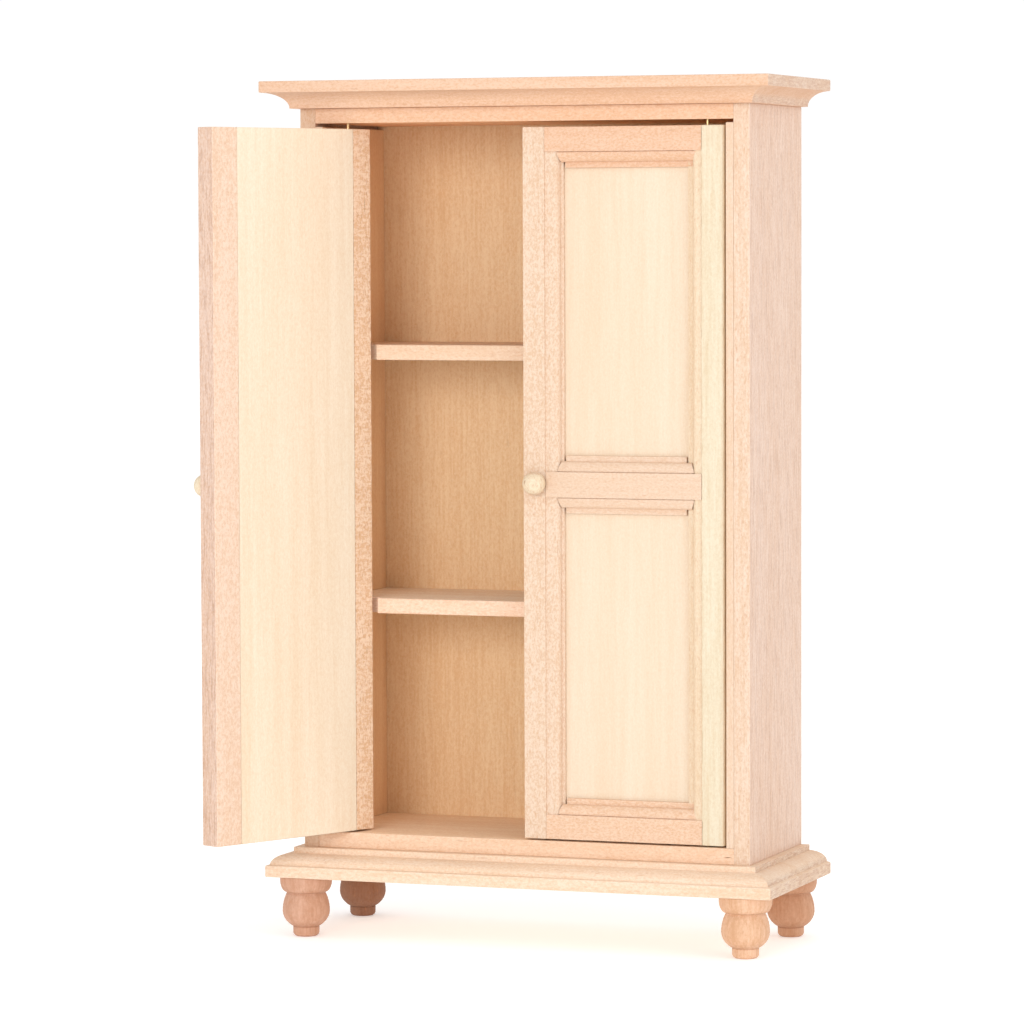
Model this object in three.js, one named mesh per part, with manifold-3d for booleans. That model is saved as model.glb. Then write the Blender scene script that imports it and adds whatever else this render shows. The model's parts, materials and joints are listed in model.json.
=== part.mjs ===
// Miniature wardrobe, 1:12 scale, in unfinished wood.
// Millimetres, +Z up, front facing -Y. The design frame has x = 0 on the centre line, y = 0 on
// the front edges of the side panels and z = 0 under the feet. The finished group is then moved
// so that its origin is the middle of its footprint, with the left door standing open.

import * as THREE from 'three';
import { mergeVertices } from 'three/addons/utils/BufferGeometryUtils.js';
import Module from 'manifold-3d';

const wasm = await Module();
wasm.setup();

// ---- Driving dimensions -------------------------------------------------------------------

const CARCASS_WIDTH = 100;
const CARCASS_DEPTH = 37.4;
const FOOT_HEIGHT = 13;
const BASE_THICKNESS = 6.1;
const CARCASS_HEIGHT = 157.75;
const CORNICE_THICKNESS = 5.7;

const SIDE_THICKNESS = 3.5;
const LINER_THICKNESS = 1.7;
const LINER_HEIGHT = 150.45;
const BACK_THICKNESS = 2;
const TOP_BOARD_THICKNESS = 3.2;
const FLOOR_BOARD_THICKNESS = 3.4;

const SHELF_THICKNESS = 3.2;
const SHELF_TOPS = { shelf_lower: 72.4, shelf_upper: 126.6 };
const SHELF_FRONT = 5.6;
const NOTCH_WIDTH = 10.2;
const NOTCH_REAR = 8.2;

const CORNICE = { sideReveal: 1.4, frontReveal: 2.7, projection: 4.95, fillet: 2.4, lip: 0.1 };
const BASE = {
  sideReveal: 1.75, frontReveal: 1.95, projection: 4.7, topFillet: 1.2, ledge: 0.8, ledgeRise: 0.15,
  bottomFillet: 2.5,
};

const FOOT_X = 49.3;
const FOOT_FRONT_Y = -0.9;
const FOOT_REAR_Y = 31.6;
const FOOT = {
  soleRadius: 2.2, soleRound: 0.6, ankleRadius: 2.8, ankleTop: 2.1, ballRadius: 5.08, ballCentre: 5.55,
  ballLower: 4.1, ballUpper: 6.6, neckRadius: 4.25, neckHeight: 9.25, neckLip: 0.3, collarRadius: 5.6,
  collarFlat: 0.9,
};

const DOOR_WIDTH = 44.3;
const DOOR_HEIGHT = 149.6;
const DOOR_THICKNESS = 4.7;
const DOOR_BOTTOM = 22.85;
const DOOR_RECESS = 0.4;
const MEETING_GAP = 0.1;
const POST_WIDTH = 5;
const POST_ROUND = 1.3;
const PANEL_THICKNESS = 2.1;
const PANEL_REBATE = 6.7;
const STILE_FLAT = 4.85;
const RAIL_FLAT = 5.2;
const MID_RAIL_FLAT = 5.4;
const MID_RAIL_CENTRE = 97.6;

// The moulded edges of the door frame. Each steps down to a landing, curves down and ends in a
// fillet beside the panel. The depths are shared, so that the rails can be coped over the uprights.
const STICKING = { quirk: 0.35, curveDepth: 1.55, filletDepth: 1.75 };
const STILE_STICKING = { landing: 2.1, curveWidth: 1, width: 3.7 };
const STRIP_STICKING = { landing: 1.2, curveWidth: 1, width: 3.4 };
const RAIL_STICKING = { landing: 0, curveWidth: 2.2, width: 3.4 };

const PIN_INSET = 4.3;
const PIN_RADIUS = 0.32;
const PIN_HOLE_RADIUS = 0.45;
const PIN_IN_POST = 5;
const PIN_IN_BOARD = 2;
const PIN_END_CLEARANCE = 0.2;

const KNOB_RADIUS = 2.45;
const KNOB_STANDOFF = 1.8;
const KNOB_FROM_EDGE = 3;
const KNOB_HEIGHT = 97.9;
const KNOB_PEG_RADIUS = 0.8;
const KNOB_PEG_LENGTH = 3;
const KNOB_HOLE_RADIUS = 0.95;

const LEFT_DOOR_OPEN_DEG = 115.7;

// Glue-line gap between pieces cut to each other, and how far a cutter runs past what it cuts.
const GAP = 0.05;
const OVERRUN = 1;

// Points closer than this are one vertex when a solid is made.
const MERGE_TOLERANCE = 1e-4;

const ARC_STEPS = 6;
const TURNED_SIDES = 20;
const ROUND_SIDES = 12;

// ---- Derived positions --------------------------------------------------------------------

const HALF_WIDTH = CARCASS_WIDTH / 2;
const CARCASS_BOTTOM = FOOT_HEIGHT + BASE_THICKNESS;
const CARCASS_TOP = CARCASS_BOTTOM + CARCASS_HEIGHT;
const SIDE_INNER = HALF_WIDTH - SIDE_THICKNESS;
const LINER_INNER = SIDE_INNER - LINER_THICKNESS;
const BACK_INNER = CARCASS_DEPTH - BACK_THICKNESS;
const FLOOR_TOP = CARCASS_BOTTOM + FLOOR_BOARD_THICKNESS;
const CEILING = CARCASS_TOP - TOP_BOARD_THICKNESS;
const DOOR_TOP = DOOR_BOTTOM + DOOR_HEIGHT;
const HINGE_EDGE = MEETING_GAP + DOOR_WIDTH;
const PIN_X = HINGE_EDGE - PIN_INSET;
const PIN_Y = DOOR_RECESS + DOOR_THICKNESS / 2;
const PANEL_FRONT = DOOR_THICKNESS - PANEL_THICKNESS;

// ---- Woods and metal ----------------------------------------------------------------------

const hardwood = () => new THREE.MeshStandardMaterial({ color: 0xf3cfae, roughness: 0.8, metalness: 0 });
const plywood = () => new THREE.MeshStandardMaterial({ color: 0xf7e2c0, roughness: 0.75, metalness: 0 });
const limewood = () => new THREE.MeshStandardMaterial({ color: 0xf9e6c4, roughness: 0.75, metalness: 0 });
const turnedWood = () => new THREE.MeshStandardMaterial({ color: 0xe6b286, roughness: 0.7, metalness: 0 });
const knobWood = () => new THREE.MeshStandardMaterial({ color: 0xf6ddb6, roughness: 0.6, metalness: 0 });
const brass = () => new THREE.MeshStandardMaterial({ color: 0xd8b070, roughness: 0.35, metalness: 1 });

// ---- Solid helpers ------------------------------------------------------------------------

function named(name, geometry, material) {
  const mesh = new THREE.Mesh(geometry, material);
  mesh.name = name;
  return mesh;
}

function box(xRange, yRange, zRange) {
  const size = [xRange, yRange, zRange].map(([low, high]) => high - low);
  const centre = [xRange, yRange, zRange].map(([low, high]) => (low + high) / 2);
  return new THREE.BoxGeometry(...size).translate(...centre);
}

// A closed outline of [x, y] points, extruded along +Z between two heights.
function extrudeUp(points, low, high) {
  const shape = new THREE.Shape(points.map(([x, y]) => new THREE.Vector2(x, y)));
  const geometry = new THREE.ExtrudeGeometry(shape, { depth: high - low, bevelEnabled: false });
  return geometry.translate(0, 0, low);
}

// A closed outline of [y, z] points, extruded along +X.
function extrudeAcross(points, low, high) {
  return extrudeUp(points, low, high).applyMatrix4(
    new THREE.Matrix4().makeBasis(
      new THREE.Vector3(0, 1, 0), new THREE.Vector3(0, 0, 1), new THREE.Vector3(1, 0, 0),
    ),
  );
}

// A closed outline of [x, z] points, extruded along +Y.
function extrudeBack(points, low, high) {
  return extrudeUp(points, low, high).applyMatrix4(
    new THREE.Matrix4().makeBasis(
      new THREE.Vector3(1, 0, 0), new THREE.Vector3(0, 0, 1), new THREE.Vector3(0, -1, 0),
    ),
  ).translate(0, low + high, 0);
}

function rod(radius, low, high) {
  return new THREE.CylinderGeometry(radius, radius, high - low, ROUND_SIDES)
    .rotateX(Math.PI / 2)
    .translate(0, 0, (low + high) / 2);
}

// Points on a quarter of an ellipse, from angle 0 (along +u) to 90 degrees (along +v).
function quarterEllipse(centreU, centreV, radiusU, radiusV) {
  return Array.from({ length: ARC_STEPS + 1 }, (_, step) => {
    const angle = (step / ARC_STEPS) * (Math.PI / 2);
    return [centreU + radiusU * Math.cos(angle), centreV + radiusV * Math.sin(angle)];
  });
}

function toSolid(geometry) {
  const bare = geometry.index ? geometry.clone() : geometry;
  bare.deleteAttribute('normal');
  bare.deleteAttribute('uv');
  const merged = mergeVertices(bare, MERGE_TOLERANCE);
  return new wasm.Manifold(new wasm.Mesh({
    numProp: 3,
    vertProperties: new Float32Array(merged.attributes.position.array),
    triVerts: new Uint32Array(merged.index.array),
  }));
}

function toGeometry(solid) {
  const mesh = solid.getMesh();
  const geometry = new THREE.BufferGeometry();
  geometry.setAttribute('position', new THREE.BufferAttribute(new Float32Array(mesh.vertProperties), 3));
  geometry.setIndex(new THREE.BufferAttribute(new Uint32Array(mesh.triVerts), 1));
  geometry.computeVertexNormals();
  return geometry;
}

function cut(geometry, ...cutters) {
  return toGeometry(cutters.reduce((solid, cutter) => solid.subtract(toSolid(cutter)), toSolid(geometry)));
}

function join(first, second) {
  return toGeometry(toSolid(first).add(toSolid(second)));
}

function overlapOf(first, second) {
  return toGeometry(toSolid(first).intersect(toSolid(second)));
}

// ---- Moulded slabs ------------------------------------------------------------------------

// A slab moulded along both ends and the front, square at the back. `edge` lists [offset, z]
// points from the slab's bottom to its top, offset outwards from the reveal.
function mouldedSlab(edge, { sideReveal, frontReveal }) {
  const heights = edge.map(([, z]) => z);
  const right = edge.map(([offset, z]) => [HALF_WIDTH + sideReveal + offset, z]);
  const left = right.map(([x, z]) => [-x, z]).reverse();
  const front = edge.map(([offset, z]) => [-frontReveal - offset, z]);
  const back = [[CARCASS_DEPTH, heights[heights.length - 1]], [CARCASS_DEPTH, heights[0]]];
  const reach = CARCASS_WIDTH;
  return overlapOf(
    extrudeAcross([...front, ...back], -reach, reach),
    extrudeBack([...right, ...left], -reach, reach),
  );
}

function corniceGeometry() {
  const top = CARCASS_TOP + CORNICE_THICKNESS;
  const filletBottom = top - CORNICE.fillet;
  const coveBottom = CARCASS_TOP + CORNICE.lip;
  const cove = quarterEllipse(0, 0, CORNICE.projection, filletBottom - coveBottom)
    .map(([u, v]) => [CORNICE.projection - u, coveBottom + v]);
  return mouldedSlab([[0, CARCASS_TOP], ...cove, [CORNICE.projection, top]], CORNICE);
}

function baseGeometry() {
  const ledgeOuter = FOOT_HEIGHT + BASE.bottomFillet;
  const ovoloBottom = ledgeOuter + BASE.ledgeRise;
  const ovoloTop = CARCASS_BOTTOM - BASE.topFillet;
  const ovolo = quarterEllipse(0, ovoloBottom, BASE.projection - BASE.ledge, ovoloTop - ovoloBottom);
  return mouldedSlab(
    [[BASE.projection, FOOT_HEIGHT], [BASE.projection, ledgeOuter], ...ovolo, [0, CARCASS_BOTTOM]],
    BASE,
  );
}

// ---- Carcass ------------------------------------------------------------------------------

function pinHole(side, low, high) {
  return rod(PIN_HOLE_RADIUS, low, high).translate(side * PIN_X, PIN_Y, 0);
}

function boardWithPinHoles(low, high, holeLow, holeHigh) {
  const board = box([-SIDE_INNER, SIDE_INNER], [0, BACK_INNER], [low, high]);
  return cut(board, pinHole(-1, holeLow, holeHigh), pinHole(1, holeLow, holeHigh));
}

// A shelf with its front corners notched, to clear the swing of the doors' hinge edges.
function shelfGeometry(top) {
  const half = LINER_INNER;
  const notch = half - NOTCH_WIDTH;
  const outline = [
    [-notch, SHELF_FRONT], [notch, SHELF_FRONT], [notch, NOTCH_REAR], [half, NOTCH_REAR],
    [half, BACK_INNER], [-half, BACK_INNER], [-half, NOTCH_REAR], [-notch, NOTCH_REAR],
  ];
  return extrudeUp(outline, top - SHELF_THICKNESS, top);
}

function carcass() {
  const group = new THREE.Group();
  for (const [word, side] of [['left', -1], ['right', 1]]) {
    const outer = [side * HALF_WIDTH, side * SIDE_INNER].sort((a, b) => a - b);
    const inner = [side * SIDE_INNER, side * LINER_INNER].sort((a, b) => a - b);
    const panel = box(outer, [0, CARCASS_DEPTH], [CARCASS_BOTTOM, CARCASS_TOP]);
    const liner = box(inner, [0, BACK_INNER], [FLOOR_TOP, FLOOR_TOP + LINER_HEIGHT]);
    group.add(named(`side_panel_${word}`, panel, hardwood()));
    group.add(named(`side_liner_${word}`, liner, hardwood()));
  }
  const holeDepth = PIN_IN_BOARD + PIN_END_CLEARANCE;
  const topBoard = boardWithPinHoles(CEILING, CARCASS_TOP, CEILING - OVERRUN, CEILING + holeDepth);
  const floorBoard = boardWithPinHoles(CARCASS_BOTTOM, FLOOR_TOP, FLOOR_TOP - holeDepth, FLOOR_TOP + OVERRUN);
  const back = box([-SIDE_INNER, SIDE_INNER], [BACK_INNER, CARCASS_DEPTH], [CARCASS_BOTTOM, CARCASS_TOP]);
  group.add(named('top_board', topBoard, hardwood()));
  group.add(named('floor_board', floorBoard, hardwood()));
  group.add(named('back_panel', back, plywood()));
  for (const [name, top] of Object.entries(SHELF_TOPS)) {
    group.add(named(name, shelfGeometry(top), hardwood()));
  }
  group.add(named('cornice_board', corniceGeometry(), hardwood()));
  group.add(named('base_board', baseGeometry(), hardwood()));
  return group;
}

// ---- Turned feet --------------------------------------------------------------------------

// Radius of the ball at a height, on an upright ellipse of the given half height.
function ballRadiusAt(height, halfHeight) {
  const rise = (height - FOOT.ballCentre) / halfHeight;
  return FOOT.ballRadius * Math.sqrt(1 - rise * rise);
}

function ballProfile() {
  const start = FOOT.ankleTop;
  const end = FOOT.neckHeight;
  const steps = 2 * ARC_STEPS;
  return Array.from({ length: steps + 1 }, (_, step) => {
    const height = start + ((end - start) * step) / steps;
    const halfHeight = height < FOOT.ballCentre ? FOOT.ballLower : FOOT.ballUpper;
    return [ballRadiusAt(height, halfHeight), height];
  });
}

function footGeometry() {
  const collarStart = FOOT.neckHeight + FOOT.neckLip;
  const collarEnd = FOOT_HEIGHT - FOOT.collarFlat;
  const collar = quarterEllipse(
    FOOT.neckRadius, collarEnd, FOOT.collarRadius - FOOT.neckRadius, collarStart - collarEnd,
  ).reverse();
  const profile = [
    [0, 0], [FOOT.soleRadius, 0], [FOOT.ankleRadius, FOOT.soleRound], [FOOT.ankleRadius, FOOT.ankleTop],
    ...ballProfile(), ...collar, [FOOT.collarRadius, FOOT_HEIGHT], [0, FOOT_HEIGHT],
  ];
  const points = profile.map(([radius, height]) => new THREE.Vector2(radius, height));
  return new THREE.LatheGeometry(points, TURNED_SIDES).rotateX(Math.PI / 2);
}

function feet() {
  const group = new THREE.Group();
  for (const [word, side] of [['left', -1], ['right', 1]]) {
    for (const [place, y] of [['front', FOOT_FRONT_Y], ['rear', FOOT_REAR_Y]]) {
      const foot = named(`foot_${place}_${word}`, footGeometry(), turnedWood());
      foot.position.set(side * FOOT_X, y, 0);
      group.add(foot);
    }
  }
  return group;
}

// ---- Doors --------------------------------------------------------------------------------
// A door is made about its pin. `u` runs from the hinge edge to the free edge, `v` from the face
// to the back, and `side` is -1 for the left door and 1 for the right one.

const doorX = (side, u) => side * (PIN_INSET - u);
const doorY = (v) => v - DOOR_THICKNESS / 2;

function planSection(side, points, low = DOOR_BOTTOM, high = DOOR_TOP) {
  return extrudeUp(points.map(([u, v]) => [doorX(side, u), doorY(v)]), low, high);
}

// The moulded edge of a frame member, as [distance from the flat, depth] points from the face
// to the panel. `grow` moves it outwards, for the cutter that copes a rail over it.
function stickingEdge({ landing, curveWidth, width }, grow = 0) {
  const { quirk, curveDepth, filletDepth } = STICKING;
  const curve = quarterEllipse(landing, curveDepth, curveWidth, quirk - curveDepth).reverse();
  const step = landing > 0 ? [[0, quirk]] : [];
  const curveEnd = landing + curveWidth;
  return [
    [0, 0], ...step, ...curve, [curveEnd, filletDepth], [width, filletDepth], [width, PANEL_FRONT],
  ].map(([across, depth]) => [across + grow, depth - grow]);
}

function freeStileGeometry(side) {
  const flat = DOOR_WIDTH - STILE_FLAT;
  const rebate = DOOR_WIDTH - PANEL_REBATE;
  const moulded = stickingEdge(STILE_STICKING).map(([across, depth]) => [flat - across, depth]);
  const outline = [
    [DOOR_WIDTH, 0], ...moulded, [rebate, PANEL_FRONT], [rebate, DOOR_THICKNESS],
    [DOOR_WIDTH, DOOR_THICKNESS],
  ];
  const hole = rod(KNOB_HOLE_RADIUS, 0, KNOB_PEG_LENGTH + KNOB_HOLE_RADIUS)
    .rotateX(-Math.PI / 2)
    .translate(doorX(side, DOOR_WIDTH - KNOB_FROM_EDGE), doorY(0) - GAP, KNOB_HEIGHT);
  return cut(planSection(side, outline), hole);
}

// The hinge post, with its outer front corner rounded so that it turns inside the opening.
function hingePostGeometry(side) {
  const corner = quarterEllipse(0, 0, POST_ROUND, POST_ROUND)
    .map(([u, v]) => [POST_ROUND - u, POST_ROUND - v]);
  const outline = [...corner, [POST_WIDTH, 0], [POST_WIDTH, DOOR_THICKNESS], [0, DOOR_THICKNESS]];
  const topHole = rod(PIN_HOLE_RADIUS, DOOR_TOP - PIN_IN_POST, DOOR_TOP + OVERRUN);
  const bottomHole = rod(PIN_HOLE_RADIUS, DOOR_BOTTOM - OVERRUN, DOOR_BOTTOM + PIN_IN_POST);
  return cut(planSection(side, outline), topHole, bottomHole);
}

function hingeMouldingGeometry(side) {
  const start = POST_WIDTH + GAP;
  const moulded = stickingEdge(STRIP_STICKING)
    .map(([across, depth]) => [start + across, depth])
    .slice(1);
  const back = moulded.pop();
  const outline = [...moulded, [back[0], PANEL_FRONT - GAP], [start, PANEL_FRONT - GAP]];
  return planSection(side, outline);
}

// A rail between the post and the free stile, coped over both mouldings. `flatLow` and
// `flatHigh` bound its flat face, and each edge is moulded or square.
function railGeometry(side, flatLow, flatHigh, mouldedLow, mouldedHigh) {
  const depth = PANEL_FRONT - GAP;
  const edge = stickingEdge(RAIL_STICKING).slice(0, -1);
  const up = edge.map(([across, v]) => [doorY(v), flatHigh + across]);
  const down = edge.map(([across, v]) => [doorY(v), flatLow - across]);
  const topEdge = mouldedHigh
    ? [...up, [doorY(depth), flatHigh + RAIL_STICKING.width]]
    : [[doorY(0), flatHigh], [doorY(depth), flatHigh]];
  const lowEdge = mouldedLow
    ? [...down, [doorY(depth), flatLow - RAIL_STICKING.width]]
    : [[doorY(0), flatLow], [doorY(depth), flatLow]];
  const uStart = POST_WIDTH + GAP;
  const uEnd = DOOR_WIDTH - STILE_FLAT - GAP;
  const across = [doorX(side, uStart), doorX(side, uEnd)].sort((a, b) => a - b);
  const blank = extrudeAcross([...topEdge, ...lowEdge.reverse()], ...across);
  const run = [flatLow - RAIL_STICKING.width - OVERRUN, flatHigh + RAIL_STICKING.width + OVERRUN];
  const behind = DOOR_THICKNESS;
  const stile = stickingEdge(STILE_STICKING, GAP).map(([a, v]) => [DOOR_WIDTH - STILE_FLAT - a, v]);
  const stileCutter = [
    ...stile, [DOOR_WIDTH - STILE_FLAT - STILE_STICKING.width - GAP, behind],
    [DOOR_WIDTH, behind], [DOOR_WIDTH, stile[0][1]],
  ];
  const strip = stickingEdge(STRIP_STICKING, GAP).slice(1).map(([a, v]) => [POST_WIDTH + GAP + a, v]);
  const stripCutter = [
    ...strip, [POST_WIDTH + GAP + STRIP_STICKING.width + GAP, behind], [POST_WIDTH - OVERRUN, behind],
    [POST_WIDTH - OVERRUN, strip[0][1]],
  ];
  return cut(blank, planSection(side, stileCutter, ...run), planSection(side, stripCutter, ...run));
}

function doorPanelGeometry(side) {
  const across = [doorX(side, POST_WIDTH + GAP), doorX(side, DOOR_WIDTH - PANEL_REBATE - GAP)];
  return box(
    across.sort((a, b) => a - b),
    [doorY(PANEL_FRONT), doorY(DOOR_THICKNESS)],
    [DOOR_BOTTOM, DOOR_TOP],
  );
}

function knobGeometry(side) {
  const ball = new THREE.SphereGeometry(KNOB_RADIUS, TURNED_SIDES, ROUND_SIDES)
    .rotateX(Math.PI / 2)
    .translate(0, -KNOB_STANDOFF, 0);
  const faceCut = box([-KNOB_RADIUS, KNOB_RADIUS], [-GAP, KNOB_RADIUS], [-KNOB_RADIUS, KNOB_RADIUS]);
  const peg = rod(KNOB_PEG_RADIUS, -KNOB_STANDOFF, KNOB_PEG_LENGTH).rotateX(-Math.PI / 2);
  return join(cut(ball, faceCut), peg)
    .translate(doorX(side, DOOR_WIDTH - KNOB_FROM_EDGE), doorY(0), KNOB_HEIGHT);
}

function door(word, side, openDegrees) {
  const group = new THREE.Group();
  const outerRailEdges = [DOOR_BOTTOM + RAIL_FLAT, DOOR_TOP - RAIL_FLAT];
  const midZ = [MID_RAIL_CENTRE - MID_RAIL_FLAT / 2, MID_RAIL_CENTRE + MID_RAIL_FLAT / 2];
  const topPin = [DOOR_TOP - PIN_IN_POST + PIN_END_CLEARANCE, CEILING + PIN_IN_BOARD];
  const bottomPin = [FLOOR_TOP - PIN_IN_BOARD, DOOR_BOTTOM + PIN_IN_POST - PIN_END_CLEARANCE];
  const pieces = [
    ['free_stile', freeStileGeometry(side), hardwood()],
    ['hinge_post', hingePostGeometry(side), limewood()],
    ['hinge_moulding', hingeMouldingGeometry(side), hardwood()],
    ['top_rail', railGeometry(side, outerRailEdges[1], DOOR_TOP, true, false), hardwood()],
    ['mid_rail', railGeometry(side, midZ[0], midZ[1], true, true), hardwood()],
    ['bottom_rail', railGeometry(side, DOOR_BOTTOM, outerRailEdges[0], false, true), hardwood()],
    ['panel', doorPanelGeometry(side), plywood()],
    ['knob', knobGeometry(side), knobWood()],
    ['top_pin', rod(PIN_RADIUS, ...topPin), brass()],
    ['bottom_pin', rod(PIN_RADIUS, ...bottomPin), brass()],
  ];
  for (const [piece, geometry, material] of pieces) {
    group.add(named(`${word}_door_${piece}`, geometry, material));
  }
  group.position.set(side * PIN_X, PIN_Y, 0);
  group.rotation.z = THREE.MathUtils.degToRad(side * openDegrees);
  return group;
}

// ---- Assembly -----------------------------------------------------------------------------

const wardrobe = new THREE.Group();
wardrobe.add(carcass(), feet(), door('left', -1, LEFT_DOOR_OPEN_DEG), door('right', 1, 0));

const footprint = new THREE.Box3().setFromObject(wardrobe, true);
const middle = footprint.getCenter(new THREE.Vector3());
wardrobe.position.set(-middle.x, -middle.y, -footprint.min.z);

export default wardrobe;
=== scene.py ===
"""The looks of the miniature wardrobe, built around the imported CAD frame.

Shapes are made in millimetres. The carcass has its own frame, with x = 0 on the centre line, y = 0 on
the front edges of the side panels and z = 0 under the feet. Each door has one with its origin on the
pin, at floor height, and the face towards -y, as if it were shut.
"""

import json
import math

import bmesh
import bpy
from mathutils import Matrix, Vector, noise


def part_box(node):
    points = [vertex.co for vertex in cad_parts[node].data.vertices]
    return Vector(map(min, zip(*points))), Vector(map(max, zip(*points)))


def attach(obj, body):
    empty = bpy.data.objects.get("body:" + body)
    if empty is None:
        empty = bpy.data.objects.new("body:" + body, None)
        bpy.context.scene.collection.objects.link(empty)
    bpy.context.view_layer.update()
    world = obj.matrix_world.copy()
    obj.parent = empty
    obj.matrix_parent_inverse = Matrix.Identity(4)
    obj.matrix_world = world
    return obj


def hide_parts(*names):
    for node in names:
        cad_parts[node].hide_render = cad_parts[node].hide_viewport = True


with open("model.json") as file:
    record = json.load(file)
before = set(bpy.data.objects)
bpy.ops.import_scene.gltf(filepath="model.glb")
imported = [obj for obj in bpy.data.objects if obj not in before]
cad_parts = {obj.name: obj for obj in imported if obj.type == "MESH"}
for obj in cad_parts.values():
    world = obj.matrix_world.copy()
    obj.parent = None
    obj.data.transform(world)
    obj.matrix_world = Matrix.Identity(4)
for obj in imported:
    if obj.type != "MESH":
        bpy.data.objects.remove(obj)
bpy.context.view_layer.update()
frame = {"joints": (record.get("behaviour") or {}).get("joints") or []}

MM = 0.001
SIDES = (("left", -1), ("right", 1))

# ---- Positions read from the frame ----------------------------------------------------------

LEFT_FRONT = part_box("side_panel_left")[0]
RIGHT_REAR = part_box("side_panel_right")[1]
ORIGIN = Vector(((LEFT_FRONT.x + RIGHT_REAR.x) / 2, LEFT_FRONT.y, 0.0))
JOINTS = {joint["child"]: joint for joint in frame["joints"]}


def carcass_box(node):
    """Lowest and highest corners of a carcass node, in the carcass frame."""
    low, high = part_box(node)
    return (low - ORIGIN) / MM, (high - ORIGIN) / MM


def pin_place(side_word):
    """Where a door's pins stand, in the row frame, at floor height."""
    x, y, _ = JOINTS[f"{side_word}_door"]["pos_m"]
    return Vector((x, y, 0.0))


def door_box(piece):
    """Lowest and highest corners of a piece of the shut right door, in the door frame."""
    low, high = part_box(f"right_door_{piece}")
    pin = pin_place("right")
    return (low - pin) / MM, (high - pin) / MM


# ---- Sizes of the details --------------------------------------------------------------------

ARRIS = 0.2
END_EASE = 0.12
WANDER = 0.05
RING_STEP = 2.5
CURVE_STEPS = 14
GLUE_LINE = 0.02
JOINT_ARRIS = 0.05

QUIRK = 0.35
CREASE = 0.24
CURVE_DEPTH = 1.55
FILLET_DEPTH = 1.75

# The moulded edges, as (width of the landing, width of the curve, whole width).
STILE_STICKING = (2.1, 1.0, 3.7)
STRIP_STICKING = (1.2, 1.0, 3.4)
RAIL_STICKING = (0.0, 2.2, 3.4)

# Where a rail is coped over an upright: the open seam along the curve, and the hole beside the fillet.
COPE_SEAM = 0.24
COPE_HOLE = 0.4

# The wire pins, their holes, and how deep the holes go into the boards and the posts.
PIN_RADIUS, PIN_HOLE = 0.32, 0.45
PIN_IN_BOARD, PIN_IN_POST = 2.2, 5

SHARP_ANGLE = math.radians(32)

# ---- Meshes ----------------------------------------------------------------------------------


def quarter(centre, radii, start=0.0, steps=CURVE_STEPS):
    """Points on a quarter of an ellipse, turning from the angle `start`, in quarter turns."""
    points = []
    for step in range(steps + 1):
        angle = (start + step / steps) * math.pi / 2
        points.append((centre[0] + radii[0] * math.cos(angle), centre[1] + radii[1] * math.sin(angle), 0.0))
    return points


def corner_arc(before, corner, after, radius, steps=3):
    """Points that round a corner, from one edge to the next."""
    reach = min(radius, (before - corner).length * 0.45, (after - corner).length * 0.45)
    start = corner + (before - corner).normalized() * reach
    end = corner + (after - corner).normalized() * reach
    points = []
    for step in range(steps + 1):
        t = step / steps
        points.append(start * (1 - t) ** 2 + corner * (2 * t * (1 - t)) + end * t ** 2)
    return points


def eased(corners):
    """A closed outline with its corners rounded. Corners are (a, b) or (a, b, radius).
    Returns the points and, for each, whether the edge that leaves it lies on a rounding."""
    points = [Vector(corner[:2]) for corner in corners]
    radii = [corner[2] if len(corner) > 2 else ARRIS for corner in corners]
    outline, on_arris = [], []
    for i, (point, radius) in enumerate(zip(points, radii)):
        if radius == 0:
            outline.append(point)
            on_arris.append(False)
            continue
        arc = corner_arc(points[i - 1], point, points[(i + 1) % len(points)], radius)
        outline += arc
        on_arris += [True] * (len(arc) - 1) + [False]
    return outline, on_arris


def inward_normals(outline):
    """Unit vectors into a closed outline at each of its points."""
    area = sum(p.x * q.y - q.x * p.y for p, q in zip(outline, outline[1:] + outline[:1]))
    turn = 1 if area > 0 else -1
    normals = []
    for i in range(len(outline)):
        along = outline[(i + 1) % len(outline)] - outline[i - 1]
        normals.append(Vector((-along.y, along.x)).normalized() * turn)
    return normals


def stations(low, high, ease, step):
    """Heights of the rings of a prism: the two ends, the start of each easing, and even steps between."""
    count = max(1, round((high - low - 2 * ease) / step))
    inner = [low + ease + (high - low - 2 * ease) * i / count for i in range(count + 1)]
    return [low, *inner, high]


def skin(bm, rings, ring_arris):
    """Faces between closed rings of vertices, with a cap at each end."""
    layer = bm.faces.layers.float.get("arris") or bm.faces.layers.float.new("arris")
    last = len(rings) - 2
    for k in range(len(rings) - 1):
        lower, upper = rings[k], rings[k + 1]
        for i in range(len(lower)):
            j = (i + 1) % len(lower)
            face = bm.faces.new((lower[i], lower[j], upper[j], upper[i]))
            face[layer] = 1.0 if ring_arris[i] or k in (0, last) else 0.0
    bm.faces.new(list(reversed(rings[0])))
    bm.faces.new(rings[-1])
    bmesh.ops.recalc_face_normals(bm, faces=bm.faces)
    if bm.calc_volume(signed=True) < 0:
        bmesh.ops.reverse_faces(bm, faces=bm.faces)


PLACES = {
    "x": lambda a, b, t: Vector((t, a, b)),
    "y": lambda a, b, t: Vector((a, t, b)),
    "z": lambda a, b, t: Vector((a, b, t)),
}


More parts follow.
